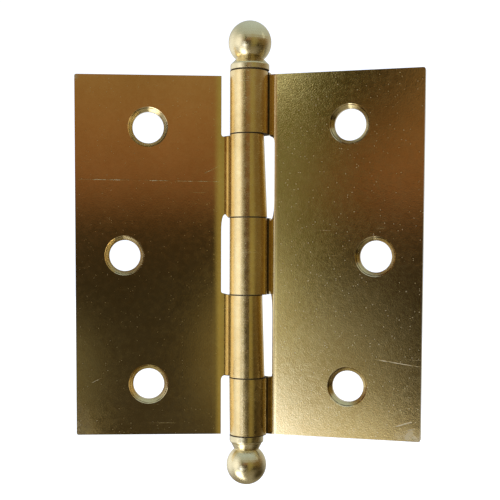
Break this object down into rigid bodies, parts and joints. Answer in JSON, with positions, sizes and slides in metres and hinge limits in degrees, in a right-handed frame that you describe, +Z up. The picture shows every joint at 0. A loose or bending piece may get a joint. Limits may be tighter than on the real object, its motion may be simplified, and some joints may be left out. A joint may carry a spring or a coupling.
{
  "type": "door hinge",
  "caption": "Butt hinge with rolled interleaved knuckles, two flat countersunk leaves and a lift-out pin with ball tips.",
  "frame": {"origin": "on the pin axis, half way up the leaves", "axes": "+Z up along the pin, +X out along the jamb leaf, -Y towards the side the countersinks open on"},
  "size_m": [0.072, 0.0151, 0.0983],
  "materials": {
    "brushed_brass_plate": "pressed steel, satin brass plated",
    "bright_brass_plate": "pressed steel, bright brass plated",
    "turned_brass": "turned steel, polished brass plated"
  },
  "bodies": {
    "jamb_side": {"jamb_leaf": "brushed_brass_plate", "bottom_ball_plug": "turned_brass"},
    "door_side": {"door_leaf": "bright_brass_plate"},
    "pin": {"hinge_pin": "turned_brass"}
  },
  "joints": [
    {"name": "leaf_swing", "type": "hinge", "parent": "jamb_side", "child": "door_side", "pos_m": [0, 0, 0], "axis": [0, 0, -1], "range_deg": [-161.2, 108.8]},
    {"name": "pin_lift", "type": "slide", "parent": "jamb_side", "child": "pin", "axis": [0, 0, 1], "range_m": [0, 0.0725]}
  ]
}
